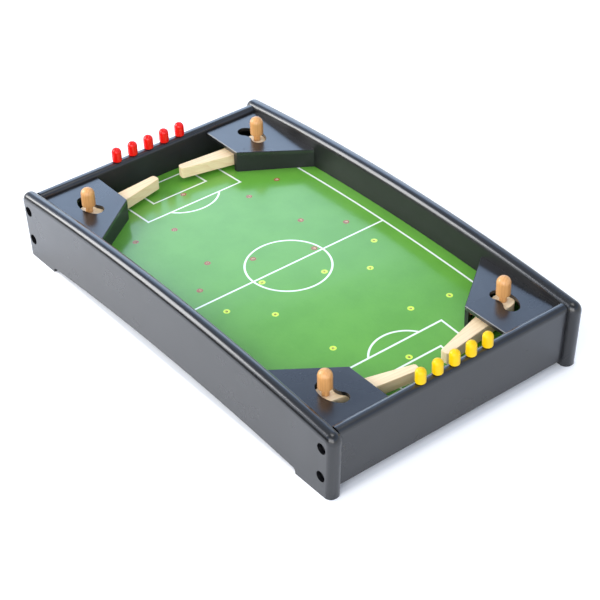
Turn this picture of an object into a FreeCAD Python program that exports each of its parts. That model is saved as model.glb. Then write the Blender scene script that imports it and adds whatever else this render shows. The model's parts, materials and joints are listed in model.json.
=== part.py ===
"""Tabletop football game with four hand-worked flippers.

A wooden tray: two arched side boards, two end boards, an arched green
playing field held in grooves, and a hollow block in each corner. Every
block holds one flipper on an upright pivot pin, with a turned knob that
comes up through a curved slot in the block's top. Five red and five
yellow pegs stand in holes along the end boards.

Frame: X along the length, with the yellow end at +X; Y across, with the
far side at +Y; Z up. The origin is the middle of the footprint, on the
surface that the feet stand on. Millimetres.
"""
import FreeCAD, Part
import math
import os
import re

import Sketcher

TEAMS = ("red", "yellow")
SIDES = ("near", "far")
TEAM_SIGN = {"red": -1, "yellow": 1}
SIDE_SIGN = {"near": -1, "far": 1}
PEG_PLACES = (-2, -1, 0, 1, 2)

# Driving sizes: name, value, meaning.
SIZES = [
    ("side_length", 504.0, "length of a side board between its upper corners, before they are rounded"),
    ("game_width", 299.0, "outside of one side board to the outside of the other"),
    ("side_thickness", 15.0, "thickness of a side board"),
    ("end_thickness", 12.0, "thickness of an end board, measured along the length"),
    ("side_crest", 83.6, "top of a side board at mid length"),
    ("arch_rise", 12.4, "how much the arched lines rise from their ends to the middle"),
    ("notch_crest", 13.2, "top of the gap between the feet at mid length"),
    ("foot_length", 52.5, "end of the gap between the feet, from the end of a side board"),
    ("foot_inset", 4.8, "how far a side board's end slants inwards from its top to its foot"),
    ("corner_round", 9.0, "rounding of a side board's upper corners, seen from the side"),
    ("notch_round", 4.0, "rounding where a foot meets the gap"),
    ("side_round", 6.9, "rounding along the top and end edges of a side board"),
    ("end_round", 5.2, "rounding along the top edges of an end board"),
    ("end_inset", 8.0, "an end board's face inside the side boards' upper corners, level with the blocks"),
    ("end_top", 70.0, "top of an end board"),
    ("end_bottom", 6.0, "underside of an end board"),
    ("field_crest", 47.4, "upper face of the playing field at mid length"),
    ("field_thickness", 3.0, "thickness of the playing field"),
    ("groove_depth", 5.0, "depth of the grooves that hold the playing field"),
    ("groove_clearance", 0.2, "play round the playing field in its grooves"),
    ("hole_width", 3.0, "bore of a peg hole"),
    ("keeper_ahead", 14.5, "goalkeeper's hole in front of the pivots"),
    ("back_ahead", 66.2, "inner defenders' holes in front of the pivots"),
    ("back_y", 47.0, "inner defenders' holes from the centre line"),
    ("wing_back_ahead", 58.5, "outer defenders' holes in front of the pivots"),
    ("wing_back_side", 45.5, "outer defenders' holes from the side board"),
    ("middle_x", 54.5, "inner midfield holes from the halfway line"),
    ("middle_y", 58.0, "inner midfield holes from the centre line"),
    ("wing_x", 21.8, "outer midfield holes from the halfway line"),
    ("wing_side", 44.0, "outer midfield holes from the side board"),
    ("striker_x", 31.0, "deeper striker's hole from the halfway line"),
    ("striker_y", 20.0, "deeper striker's hole from the centre line"),
    ("leader_x", 6.2, "forward striker's hole from the halfway line"),
    ("leader_y", 37.0, "forward striker's hole from the centre line"),
    ("peg_pitch", 19.8, "distance between pegs on an end board"),
    ("peg_width", 10.4, "diameter of a peg"),
    ("peg_height", 15.6, "height of a peg above the end board"),
    ("peg_foot_round", 1.6, "rounding of a peg's lower edge"),
    ("peg_stem", 9.0, "length of the thin stem under a peg"),
    ("peg_play", 0.1, "radial play of a peg's stem in its hole"),
    ("peg_hole_spare", 1.5, "depth of a peg hole below the stem"),
    ("block_top", 65.0, "upper face of a corner block"),
    ("ply_thickness", 4.0, "thickness of a corner block's top and wall"),
    ("block_width", 65.5, "corner block from the side board to its goal side"),
    ("block_goal_length", 55.0, "length of a corner block on its goal side"),
    ("block_side_length", 103.5, "length of a corner block along the side board"),
    ("block_edge", 0.5, "small bevel round a corner block's top"),
    ("batten_width", 6.0, "width of the batten behind a block's wall"),
    ("batten_height", 10.0, "height of that batten"),
    ("batten_start", 6.0, "distance of the batten from the goal side, along the wall"),
    ("batten_length", 62.0, "length of that batten"),
    ("cleat_width", 8.0, "width of the cleat on the side board"),
    ("cleat_height", 8.0, "height of that cleat"),
    ("cleat_length", 78.0, "length of that cleat"),
    ("pivot_behind", 16.0, "flipper's pivot behind the corner of its block, along the length"),
    ("pivot_side", 47.0, "flipper's pivot from the side board"),
    ("pin_width", 5.0, "diameter of a pivot pin"),
    ("pin_play", 0.08, "radial play of a flipper on its pin"),
    ("pin_seat", 2.4, "depth of the pin's upper end in the block's top"),
    ("pin_head_width", 9.0, "diameter of a pivot pin's head"),
    ("pin_head_height", 2.5, "height of a pivot pin's head"),
    ("washer_width", 12.0, "diameter of the washer under a flipper"),
    ("washer_thickness", 3.1, "thickness of that washer"),
    ("washer_play", 0.1, "gap between a flipper and its washer"),
    ("flipper_gap", 4.0, "a flipper's underside above the field at the pivot"),
    ("flipper_thickness", 12.5, "thickness of a flipper"),
    ("flipper_heel", 11.0, "radius of a flipper's round rear end"),
    ("goal_half_width", 14.0, "tip of a flipper that points straight across, from the centre line"),
    ("flipper_tip", 9.2, "width of a flipper at its tip"),
    ("tip_round", 2.8, "rounding of a flipper's two tip corners"),
    ("flipper_edge", 0.7, "rounding along a flipper's edges"),
    ("heel_play", 0.5, "gap between a flipper's raised heel and the block's top piece"),
    ("heel_front", 12.0, "front of the raised heel, from the pivot towards the tip"),
    ("knob_offset", 18.7, "pivot to the middle of the knob"),
    ("knob_width", 14.0, "diameter of a knob"),
    ("knob_top", 88.0, "top of a knob"),
    ("knob_shoulder", 2.2, "height of the slope under a knob's wide part"),
    ("knob_clearance", 1.2, "knob's wide part above the block's top"),
    ("stem_width", 7.4, "diameter of a knob's stem"),
    ("stem_seat", 9.0, "depth of the stem in the flipper"),
    ("stem_play", 0.05, "glue gap round the stem"),
    ("slot_width", 15.4, "width of the curved slot in a block's top"),
    ("slot_inward", 42.0, "slot's end towards the end board, degrees from straight across"),
    ("slot_outward", 29.0, "slot's end towards the halfway line, degrees from straight across"),
    ("slot_slip", 8.0, "turn of the red near slot about its pivot, towards the halfway line, degrees"),
    ("red_rest", 9.0, "red flippers' turn towards their end board at rest, degrees"),
    ("yellow_rest", 12.0, "yellow flippers' turn towards their end board at rest, degrees"),
    ("screw_low", 21.6, "height of the lower screw at each corner"),
    ("screw_high", 54.4, "height of the upper screw at each corner"),
    ("screw_recess_width", 11.0, "diameter of a screw's recess"),
    ("screw_recess_depth", 6.0, "depth of a screw's recess"),
    ("screw_head_width", 8.0, "diameter of a screw's head"),
    ("screw_head_height", 2.6, "height of a screw's head"),
    ("screw_width", 4.0, "diameter of a screw's shank"),
    ("screw_bite", 26.0, "length of a screw inside the end board"),
    ("screw_play", 0.1, "radial play round a screw"),
    ("brad_width", 1.4, "diameter of a brad"),
    ("brad_length", 11.0, "length of a brad"),
    ("brad_play", 0.05, "radial play round a brad"),
    ("brad_first", 8.4, "first brad from the goal side, along the wall"),
    ("brad_pitch", 34.7, "distance between the brads in the batten"),
    ("cleat_brad_inset", 12.0, "brads in the cleat from its ends"),
]

# Lines that several pieces share, each worked out from the driving sizes.
FORMULAS = {
    "half_length": "side_length/2",
    "half_width": "game_width/2",
    "wall_y": "half_width - side_thickness",
    "slant": "foot_inset/side_end_z",
    "end_face": "half_length - end_inset",
    "end_inner": "end_face - end_thickness",
    "rail_x": "end_face - end_thickness/2",
    "slant_low": "slant*(ply_z - end_bottom)",
    "slant_high": "slant*(end_top - ply_z)",
    "peg_x": "rail_x + slant_high",
    "arch_radius": "(half_length^2 + arch_rise^2)/(2*arch_rise)",
    "side_end_z": "side_crest - arch_rise",
    "notch_x": "half_length - foot_length",
    "notch_drop": "arch_radius - sqrt(arch_radius^2 - notch_x^2)",
    "notch_z": "notch_crest - notch_drop",
    "field_end_z": "field_crest - arch_rise",
    "field_half_length": "end_inner - slant*(ply_z - field_end_z) + groove_depth - groove_clearance",
    "field_half_width": "wall_y + groove_depth - groove_clearance",
    "block_side_y": "wall_y - block_width",
    "block_nose_x": "end_inner - block_goal_length",
    "block_tail_x": "end_inner - block_side_length",
    "pivot_x": "block_nose_x + pivot_behind",
    "pivot_y": "wall_y - pivot_side",
    "flipper_reach": "pivot_y - goal_half_width",
    "keeper_x": "pivot_x - keeper_ahead",
    "back_x": "pivot_x - back_ahead",
    "wing_back_x": "pivot_x - wing_back_ahead",
    "wing_back_y": "wall_y - wing_back_side",
    "wing_y": "wall_y - wing_side",
    "pivot_drop": "arch_radius - sqrt(arch_radius^2 - pivot_x^2)",
    "flipper_z": "field_crest - pivot_drop + flipper_gap",
    "ply_z": "block_top - ply_thickness",
    "wall_run": "block_nose_x - block_tail_x",
    "wall_rise": "wall_y - block_side_y",
    "wall_length": "sqrt(wall_run^2 + wall_rise^2)",
    "ply_skew": "ply_thickness*wall_length/wall_rise",
    "along_x": "-wall_run/wall_length",
    "along_y": "wall_rise/wall_length",
    "inward_x": "wall_rise/wall_length",
    "inward_y": "wall_run/wall_length",
    "batten_line": "ply_thickness + batten_width/2",
    "batten_back": "ply_thickness + batten_width",
    "cleat_end": "end_inner - slant*cleat_height",
    "cleat_x": "cleat_end - cleat_length",
    "cleat_y": "wall_y - cleat_width/2",
    "pin_top": "ply_z + pin_seat",
    "underside_reach": "pivot_x + pin_head_width/2",
    "underside_radius": "arch_radius - field_thickness",
    "underside_drop": "underside_radius - sqrt(underside_radius^2 - underside_reach^2)",
    "pin_head_z": "field_crest - field_thickness - underside_drop",
    "bore_width": "pin_width + 2*pin_play",
    "peg_stem_width": "hole_width - 2*peg_play",
    "stem_z": "flipper_z + flipper_thickness - stem_seat",
    "heel_step": "ply_z - heel_play - flipper_z - flipper_thickness",
    "knob_z": "block_top + knob_clearance",
    "dome_z": "knob_top - knob_width/2",
    "screw_face": "half_width - screw_recess_depth",
}

doc = FreeCAD.newDocument("TabletopFootball")
sheet = doc.addObject("Spreadsheet::Sheet", "Sizes")
for row, (alias, value, meaning) in enumerate(SIZES, start=1):
    sheet.set("A%d" % row, alias)
    sheet.set("B%d" % row, str(value))
    sheet.set("C%d" % row, meaning)
    sheet.setAlias("B%d" % row, alias)
doc.recompute()

ALIASES = {alias for alias, value, meaning in SIZES}
WORD = re.compile(r"[a-z]+(?:_[a-z]+)*")


def written_out(text):
    """The expression with every shared line and size name written out for the sheet."""
    def swap(match):
        word = match.group(0)
        if word in FORMULAS:
            return "(" + written_out(FORMULAS[word]) + ")"
        return "Sizes." + word if word in ALIASES else word
    return WORD.sub(swap, str(text))


def value_of(text):
    """Number that an expression gives now."""
    answer = sheet.evalExpression(written_out(text))
    return float(getattr(answer, "Value", answer))


def bind(thing, **expressions):
    """Tie properties of an object to expressions; x, y, z and turn set its Placement."""
    paths = {"x": "Placement.Base.x", "y": "Placement.Base.y", "z": "Placement.Base.z",
             "turn": "Placement.Rotation.Angle"}
    for name, text in expressions.items():
        thing.setExpression(paths.get(name, name), written_out(text))
    return thing


def box(name, size, corner, turn=None):
    """Box of the given size, from its lowest corner, turned about Z through that corner."""
    thing = doc.addObject("Part::Box", name)
    bind(thing, Length=size[0], Width=size[1], Height=size[2])
    if turn is not None:
        thing.Placement.Rotation = FreeCAD.Rotation(FreeCAD.Vector(0, 0, 1), 10)
        bind(thing, turn=turn)
    return bind(thing, x=corner[0], y=corner[1], z=corner[2])


def rod(name, width, length, foot, axis="z"):
    """Cylinder of a diameter and length, from the centre of its first end."""
    thing = doc.addObject("Part::Cylinder", name)
    turns = {"z": (FreeCAD.Vector(0, 0, 1), 0), "y": (FreeCAD.Vector(1, 0, 0), -90)}
    thing.Placement.Rotation = FreeCAD.Rotation(*turns[axis])
    bind(thing, Radius="(%s)/2" % width, Height=length)
    return bind(thing, x=foot[0], y=foot[1], z=foot[2])


def joined(name, pieces):
    """One solid from pieces that meet."""
    thing = doc.addObject("Part::MultiFuse", name)
    thing.Shapes = pieces
    thing.Refine = True
    return thing


def group(name, pieces):
    """Separate solids kept as one piece list."""
    thing = doc.addObject("Part::Compound", name)
    thing.Links = pieces
    return thing


def cut(name, base, tools):
    """Base with every tool taken away."""
    thing = doc.addObject("Part::Cut", name)
    thing.Base = base
    thing.Tool = tools[0] if len(tools) == 1 else joined(name + "_tools", tools)
    return thing


def common(name, first, second):
    """What two solids share."""
    thing = doc.addObject("Part::Common", name)
    thing.Base = first
    thing.Tool = second
    return thing


def mirrored(name, source, across):
    """Copy of a piece on the other side of the middle plane across X or Y."""
    thing = doc.addObject("Part::Mirroring", name)
    thing.Source = source
    thing.Base = FreeCAD.Vector(0, 0, 0)
    thing.Normal = FreeCAD.Vector(1, 0, 0) if across == "x" else FreeCAD.Vector(0, 1, 0)
    return thing


def below_arch(name, crest, radius="arch_radius"):
    """Everything under an arched surface whose middle is at the height crest."""
    foot = ("0", "-game_width", "%s - (%s)" % (crest, radius))
    return rod(name, "2*(%s)" % radius, "2*game_width", foot, "y")


def arched_slab(name, half_long, half_wide, thickness, crest, margin="0"):
    """Curved panel under an arched surface, grown by a margin on every side."""
    blank = box(name + "_blank",
                ("2*(%s + %s)" % (half_long, margin), "2*(%s + %s)" % (half_wide, margin), "side_crest"),
                ("-(%s) - (%s)" % (half_long, margin), "-(%s) - (%s)" % (half_wide, margin), "0"))
    outer = below_arch(name + "_upper", "%s + %s" % (crest, margin), "arch_radius + %s" % margin)
    inner = below_arch(name + "_lower", "%s - (%s) - (%s)" % (crest, thickness, margin),
                       "arch_radius - (%s) - (%s)" % (thickness, margin))
    return cut(name, common(name + "_domed", blank, outer), [inner])


def origin_plane(body, role):
    """One of a body's own origin planes."""
    return next(plane for plane in body.Origin.OriginFeatures if plane.Role == role)


def outline_sketch(body, name, role, corners, arcs=None):
    """Closed outline through corners given as expressions; arcs maps a side to radius and bulge.

    A bulge of 1 puts the arc on the left of the way from corner to corner, -1 on the right.
    """
    arcs = arcs or {}
    sketch = body.newObject("Sketcher::SketchObject", name)
    sketch.AttachmentSupport = [(origin_plane(body, role), "")]
    sketch.MapMode = "FlatFace"
    spots = [FreeCAD.Vector(value_of(a), value_of(b), 0) for a, b in corners]
    ends = []
    for index, start in enumerate(spots):
        stop = spots[(index + 1) % len(spots)]
        if index not in arcs:
            sketch.addGeometry(Part.LineSegment(start, stop), False)
            ends.append((1, 2))
            continue
        radius, bulge = value_of(arcs[index][0]), arcs[index][1]
        chord = stop - start
        left = FreeCAD.Vector(-chord.y, chord.x, 0).normalize()
        sagitta = radius - math.sqrt(radius**2 - (chord.Length / 2)**2)
        crown = (start + stop) * 0.5 + left * (sagitta * bulge)
        arc = Part.Arc(start, crown, stop).toShape().Curve
        middle = arc.Center
        first, last = (start, stop) if bulge < 0 else (stop, start)
        turn_a = math.atan2(first.y - middle.y, first.x - middle.x)
        turn_b = math.atan2(last.y - middle.y, last.x - middle.x)
        circle = Part.Circle(middle, FreeCAD.Vector(0, 0, 1), radius)
        sketch.addGeometry(Part.ArcOfCircle(circle, turn_a, turn_b), False)
        ends.append((1, 2) if bulge < 0 else (2, 1))
    for index in range(len(spots)):
        after = (index + 1) % len(spots)
        sketch.addConstraint(Sketcher.Constraint("Coincident", index, ends[index][1], after, ends[after][0]))
    for index, (across, up) in enumerate(corners):
        for kind, text, axis in (("DistanceX", across, -2), ("DistanceY", up, -1)):
            if str(text) == "0":
                sketch.addConstraint(Sketcher.Constraint("PointOnObject", index, ends[index][0], axis))
                continue
            number = sketch.addConstraint(Sketcher.Constraint(kind, index, ends[index][0], value_of(text)))
            sketch.setExpression("Constraints[%d]" % number, written_out(text))
    for index, (radius, bulge) in arcs.items():
        number = sketch.addConstraint(Sketcher.Constraint("Radius", index, value_of(radius)))
        sketch.setExpression("Constraints[%d]" % number, written_out(radius))
    return sketch


def pad(body, name, sketch, length, towards_minus=False):
    """Outline given a thickness."""
    feature = body.newObject("PartDesign::Pad", name)
    feature.Profile = sketch
    feature.Reversed = towards_minus
    bind(feature, Length=length)
    doc.recompute()
    return feature


def fillet(body, name, feature, radius, wanted):
    """Rounding of the edges for which wanted(edge) holds."""
    names = ["Edge%d" % (number + 1) for number, edge in enumerate(feature.Shape.Edges) if wanted(edge)]
    thing = body.newObject("PartDesign::Fillet", name)
    thing.Base = (feature, names)
    bind(thing, Radius=radius)
    doc.recompute()
    return thing


def spans(edge, axis):
    """True for an edge that runs along one axis only."""
    bounds = edge.BoundBox
    lengths = {"x": bounds.XLength, "y": bounds.YLength, "z": bounds.ZLength}
    others = [length for name, length in lengths.items() if name != axis]
    return lengths[axis] > 1e-3 and max(others) < 1e-6


# Playing field and the grooves that hold it

field_panel = arched_slab("field_panel", "field_half_length", "field_half_width",
                          "field_thickness", "field_crest")
field_groove = arched_slab("field_groove", "field_half_length", "field_half_width",
                           "field_thickness", "field_crest", "groove_clearance")

FORMATION = [
    ("keeper", "keeper_x", "0"),
    ("back_left", "back_x", "back_y"),
    ("back_right", "back_x", "-back_y"),
    ("wing_back_left", "wing_back_x", "wing_back_y"),
    ("wing_back_right", "wing_back_x", "-wing_back_y"),
    ("middle_left", "middle_x", "middle_y"),
    ("middle_right", "middle_x", "-middle_y"),
    ("wing_left", "wing_x", "wing_y"),
    ("wing_right", "wing_x", "-wing_y"),
    ("striker", "striker_x", "striker_y"),
    ("leader", "leader_x", "-leader_y"),
]
field_tools = []
for team in TEAMS:
    for player, along, across in FORMATION:
        sign = TEAM_SIGN[team]
        place = ("%d*(%s)" % (sign, along), "%d*(%s)" % (sign, across), "0")
        field_tools.append(rod("hole_%s_%s" % (team, player), "hole_width", "side_crest", place))
for team in TEAMS:
    for side in SIDES:
        place = ("%d*pivot_x" % TEAM_SIGN[team], "%d*pivot_y" % SIDE_SIGN[side], "0")
        field_tools.append(rod("pin_way_%s_%s" % (team, side), "bore_width", "side_crest", place))
playing_field = cut("playing_field", field_panel, field_tools)

# Side boards: arched top, slanted and rounded ends, two feet, a groove, and two screw holes at each end

side_body = doc.addObject("PartDesign::Body", "side_blank")
side_sketch = outline_sketch(side_body, "side_outline", "XZ_Plane", [
    ("foot_inset - half_length", "0"),
    ("-notch_x", "0"),
    ("-notch_x", "notch_z"),
    ("notch_x", "notch_z"),
    ("notch_x", "0"),
    ("half_length - foot_inset", "0"),
    ("half_length", "side_end_z"),
    ("-half_length", "side_end_z"),
], {2: ("arch_radius", 1), 6: ("arch_radius", -1)})
side_pad = pad(side_body, "side_pad", side_sketch, "side_thickness", towards_minus=True)
bind(side_body, y="-half_width")
doc.recompute()
half_length = value_of("half_length")
side_corner = fillet(side_body, "side_corners", side_pad, "corner_round",
                     lambda e: spans(e, "y") and abs(e.BoundBox.XMin) > half_length - 0.01
                     and e.BoundBox.ZMin > 1)
side_notch = fillet(side_body, "side_notches", side_corner, "notch_round",
                    lambda e: spans(e, "y") and abs(e.BoundBox.XMin) < half_length - 0.01
                    and e.BoundBox.ZMin > 1 and e.BoundBox.ZMin < value_of("notch_z") + 0.5)
arch_low = value_of("notch_crest") + 1
foot_end = value_of("half_length - foot_inset")
side_smooth = fillet(side_body, "side_smooth", side_notch, "side_round",
                     lambda e: not spans(e, "y") and e.BoundBox.ZMax > arch_low
                     and (e.BoundBox.ZMin > arch_low
                          or min(abs(e.BoundBox.XMin), abs(e.BoundBox.XMax)) > foot_end - 0.01))


def screw(name, along, height, parts):
    """One corner screw on the near side, or the ways for it, as rods along Y."""
    pieces = []
    for number, (width, length, start) in enumerate(parts):
        foot = ("%d*(rail_x - slant*(ply_z - %s))" % (along, height), start, height)
        pieces.append(rod("%s_%d" % (name, number), width, length, foot, "y"))
    return pieces


screw_ways = []
screws = []
for team in TEAMS:
    for level in ("low", "high"):
        height = "screw_" + level
        label = "%s_%s" % (team, level)
        sign = TEAM_SIGN[team]
        screw_ways += screw("screw_way_" + label, sign, height, [
            ("screw_recess_width", "screw_recess_depth + 1", "-half_width - 1"),
            ("screw_width + 2*screw_play", "side_thickness + screw_bite", "-half_width + 1"),
        ])
        solid = joined("screw_" + label, screw("screw_part_" + label, sign, height, [
            ("screw_head_width", "screw_head_height", "-screw_face - screw_head_height"),
            ("screw_width", "side_thickness - screw_recess_depth + screw_bite", "-screw_face - 0.01"),
        ]))
        screws += [solid, mirrored("screw_far_" + label, solid, "y")]

side_board_near = cut("side_board_near", side_body, [field_groove] + screw_ways)
side_board_far = mirrored("side_board_far", side_board_near, "y")
side_screws = group("side_screws", screws)

# End boards: slanted like the side boards' ends, rounded on top, with peg holes, a groove and screw holes

end_body = doc.addObject("PartDesign::Body", "end_blank")
end_sketch = outline_sketch(end_body, "end_outline", "XZ_Plane", [
    ("end_inner - slant_low", "end_bottom"),
    ("end_face - slant_low", "end_bottom"),
    ("end_face + slant_high", "end_top"),
    ("end_inner + slant_high", "end_top"),
])
end_pad = pad(end_body, "end_pad", end_sketch, "2*wall_y", towards_minus=True)
bind(end_body, y="-wall_y")
doc.recompute()
end_smooth = fillet(end_body, "end_smooth", end_pad, "end_round",
                    lambda e: spans(e, "y") and e.BoundBox.ZMin > value_of("end_top") - 0.01)
peg_holes = []
for place in PEG_PLACES:
    foot = ("peg_x", "%d*peg_pitch" % place, "end_top - peg_stem - peg_hole_spare")
    peg_holes.append(rod("peg_hole_%d" % (place + 3), "hole_width", "peg_stem + peg_hole_spare + 1", foot))
end_ways = [way for way in screw_ways if "yellow" in way.Name and way.Name.endswith("_1")]
end_ways += [mirrored(way.Name + "_far", way, "y") for way in list(end_ways)]
end_board_yellow = cut("end_board_yellow", end_body, [field_groove] + peg_holes + end_ways)
end_board_red = mirrored("end_board_red", end_board_yellow, "x")

# Corner block, built at the far yellow corner: top with its curved slot, slanted wall, batten and cleat

under_field = below_arch("under_field", "field_crest")


def slot_tool(name, slip="0"):
    """Curved slot round the pivot, turned by a slip: a ring sector with two round ends."""
    height = "ply_thickness + 2"
    foot = ("pivot_x", "pivot_y", "ply_z - 1")
    outer = rod(name + "_outer", "2*knob_offset + slot_width", height, foot)
    inner = rod(name + "_inner", "2*knob_offset - slot_width", "ply_thickness + 4",
                (foot[0], foot[1], "ply_z - 2"))
    outer.setExpression("Angle", written_out("slot_inward + slot_outward"))
    outer.Placement.Rotation = FreeCAD.Rotation(FreeCAD.Vector(0, 0, 1), 10)
    bind(outer, turn="90 - slot_inward + %s" % slip, x=foot[0], y=foot[1], z=foot[2])
    ends = []
    for end, angle in (("first", "90 - slot_inward"), ("last", "90 + slot_outward")):
        spot = ("pivot_x + knob_offset*cos(%s + %s)" % (angle, slip),
                "pivot_y + knob_offset*sin(%s + %s)" % (angle, slip), foot[2])
        ends.append(rod("%s_%s" % (name, end), "slot_width", height, spot))
    return joined(name, [cut(name + "_ring", outer, [inner])] + ends)


def wall_spot(along, inward):
    """Plan position from the block's nose: so far along the wall and so far behind its face."""
    return ("block_nose_x + (%s)*along_x + (%s)*inward_x" % (along, inward),
            "block_side_y + (%s)*along_y + (%s)*inward_y" % (along, inward))


brad_spots = {
    "wall_a": wall_spot("brad_first", "batten_line"),
    "wall_b": wall_spot("brad_first + brad_pitch", "batten_line"),
    "cleat_a": ("cleat_x + cleat_brad_inset", "cleat_y"),
    "cleat_b": ("cleat_end - cleat_brad_inset", "cleat_y"),
}
brads = []
brad_ways = []
for spot_name, (across, up) in brad_spots.items():
    foot = (across, up, "block_top - brad_length")
    brads.append(rod("brad_" + spot_name, "brad_width", "brad_length", foot))
    brad_ways.append(rod("brad_way_" + spot_name, "brad_width + 2*brad_play", "brad_length + 1",
                         (across, up, "block_top - brad_length - 0.1")))

top_body = doc.addObject("PartDesign::Body", "block_top_blank")
top_sketch = outline_sketch(top_body, "block_top_outline", "XY_Plane", [
    ("block_nose_x", "block_side_y"),
    ("end_inner", "block_side_y"),
    ("end_inner", "wall_y"),
    ("block_tail_x", "wall_y"),
])
top_pad = pad(top_body, "block_top_pad", top_sketch, "ply_thickness")
free_edge = value_of("block_side_y") + 0.01
top_edge = top_body.newObject("PartDesign::Chamfer", "block_top_edge")
top_edge.Base = (top_pad, [
    "Edge%d" % (number + 1) for number, edge in enumerate(top_pad.Shape.Edges)
    if edge.BoundBox.ZMin > value_of("ply_thickness") - 0.01
    and (edge.BoundBox.YMax < free_edge or (edge.BoundBox.XLength > 1 and edge.BoundBox.YLength > 1))])
bind(top_edge, Size="block_edge")
bind(top_body, z="ply_z")
pin_socket = rod("pin_socket", "bore_width", "pin_seat + 1.1", ("pivot_x", "pivot_y", "ply_z - 1"))

wall_body = doc.addObject("PartDesign::Body", "block_wall_blank")
wall_sketch = outline_sketch(wall_body, "block_wall_outline", "XY_Plane", [
    ("block_nose_x", "block_side_y"),
    ("block_nose_x + ply_skew", "block_side_y"),
    ("block_tail_x + ply_skew", "wall_y"),
    ("block_tail_x", "wall_y"),
])
pad(wall_body, "block_wall_pad", wall_sketch, "ply_z")

batten_corner = wall_spot("batten_start", "batten_back")
batten = box("block_batten_blank", ("batten_length", "batten_width", "batten_height"),
             (batten_corner[0], batten_corner[1], "ply_z - batten_height"),
             turn="90 deg + atan(wall_run/wall_rise)")
cleat = box("block_cleat_blank", ("cleat_length", "cleat_width", "cleat_height"),
            ("cleat_x", "wall_y - cleat_width", "ply_z - cleat_height"))

top_tools = [pin_socket] + brad_ways
turned_top = cut("turned_top_piece", top_body, [slot_tool("turned_slot", "slot_slip")] + top_tools)
BLOCK_PARTS = {
    "corner_top": cut("block_top_piece", top_body, [slot_tool("slot")] + top_tools),
    "corner_wall": cut("block_wall_piece", wall_body, [under_field]),
    "corner_batten": cut("block_batten_piece", batten, brad_ways[:2]),
    "corner_cleat": cut("block_cleat_piece", cleat, brad_ways[2:]),
}
pieces = [playing_field, side_board_near, side_board_far, end_board_red, end_board_yellow, side_screws]
for part_name, source in BLOCK_PARTS.items():
    for side in SIDES:
        for team in TEAMS:
            copy = source
            if (part_name, team, side) == ("corner_top", "red", "near"):
                copy = turned_top
            if side == "near":
                copy = mirrored("%s_y_%s" % (part_name, team), copy, "y")
            if team == "red":
                copy = mirrored("%s_x_%s" % (part_name, side), copy, "x")
            copy.Label = "%s_%s_%s" % (part_name, team, side)
            pieces.append(copy)

brads_far = group("brads_yellow_far", brads)
brads_near = mirrored("brads_yellow_near", brads_far, "y")
brads_yellow = group("brads_yellow", [brads_far, brads_near])
corner_brads = group("corner_brads", [brads_yellow, mirrored("brads_red", brads_yellow, "x")])
pieces.append(corner_brads)

# Flippers, each with its knob, pin and washer

flipper_body = doc.addObject("PartDesign::Body", "flipper_blank")
heel_extra = "(flipper_heel - flipper_tip/2)"
heel_ratio = "%s/sqrt((knob_offset + flipper_reach)^2 + %s^2)" % (heel_extra, heel_extra)
heel_side = "flipper_heel*sqrt(1 - (%s)^2)" % heel_ratio
heel_rise = "knob_offset - flipper_heel*(%s)" % heel_ratio
flipper_sketch = outline_sketch(flipper_body, "flipper_outline", "XY_Plane", [
    ("-flipper_tip/2", "-flipper_reach"),
    ("flipper_tip/2", "-flipper_reach"),
    (heel_side, heel_rise),
    ("0", "knob_offset + flipper_heel"),
    ("-(%s)" % heel_side, heel_rise),
], {2: ("flipper_heel", -1), 3: ("flipper_heel", -1)})
flipper_pad = pad(flipper_body, "flipper_pad", flipper_sketch, "flipper_thickness")
flipper_corner = fillet(flipper_body, "flipper_corners", flipper_pad, "tip_round",
                        lambda e: spans(e, "z") and e.BoundBox.YMax < 0.01 - value_of("flipper_reach"))
flipper_smooth = fillet(flipper_body, "flipper_edges", flipper_corner, "flipper_edge",
                        lambda e: not spans(e, "z"))
raised_copy = doc.addObject("Part::Compound", "raised_copy")
raised_copy.Links = [flipper_body]
bind(raised_copy, z="heel_step")
ahead = box("ahead_of_heel", ("4*flipper_heel", "flipper_reach", "2*flipper_thickness"),
            ("-2*flipper_heel", "-heel_front - flipper_reach", "0"))
raised_heel = cut("raised_heel", raised_copy, [ahead])
flipper_bore = rod("flipper_bore", "bore_width", "flipper_thickness + heel_step + 2", ("0", "0", "-1"))
knob_bore = rod("knob_bore", "stem_width + 2*stem_play", "stem_seat + heel_step + 1",
                ("0", "knob_offset", "flipper_thickness - stem_seat"))
flipper_shape = cut("flipper_shape", joined("flipper_and_heel", [flipper_body, raised_heel]),
                    [flipper_bore, knob_bore])

knob_shoulder = doc.addObject("Part::Cone", "knob_slope")
bind(knob_shoulder, Radius1="stem_width/2", Radius2="knob_width/2", Height="knob_shoulder",
     y="knob_offset", z="knob_z - flipper_z")
knob_dome = doc.addObject("Part::Sphere", "knob_dome")
bind(knob_dome, Radius="knob_width/2", y="knob_offset", z="dome_z - flipper_z")
knob_shape = joined("knob_shape", [
    rod("knob_stem", "stem_width", "knob_z - stem_z + 0.01", ("0", "knob_offset", "stem_z - flipper_z")),
    knob_shoulder,
    rod("knob_barrel", "knob_width", "dome_z - knob_z - knob_shoulder",
        ("0", "knob_offset", "knob_z + knob_shoulder - flipper_z")),
    knob_dome,
])


def placed(name, source, team, side):
    """Copy of a flipper piece at its pivot, turned to its rest position."""
    thing = doc.addObject("Part::Compound", name)
    thing.Links = [source]
    thing.Placement.Rotation = FreeCAD.Rotation(FreeCAD.Vector(0, 0, 1), 10)
    outward = TEAM_SIGN[team] * SIDE_SIGN[side]
    start = 0 if side == "far" else 180
    return bind(thing, turn="%d + %d*%s_rest" % (start, outward, team),
                x="%d*pivot_x" % TEAM_SIGN[team], y="%d*pivot_y" % SIDE_SIGN[side], z="flipper_z")


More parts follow.
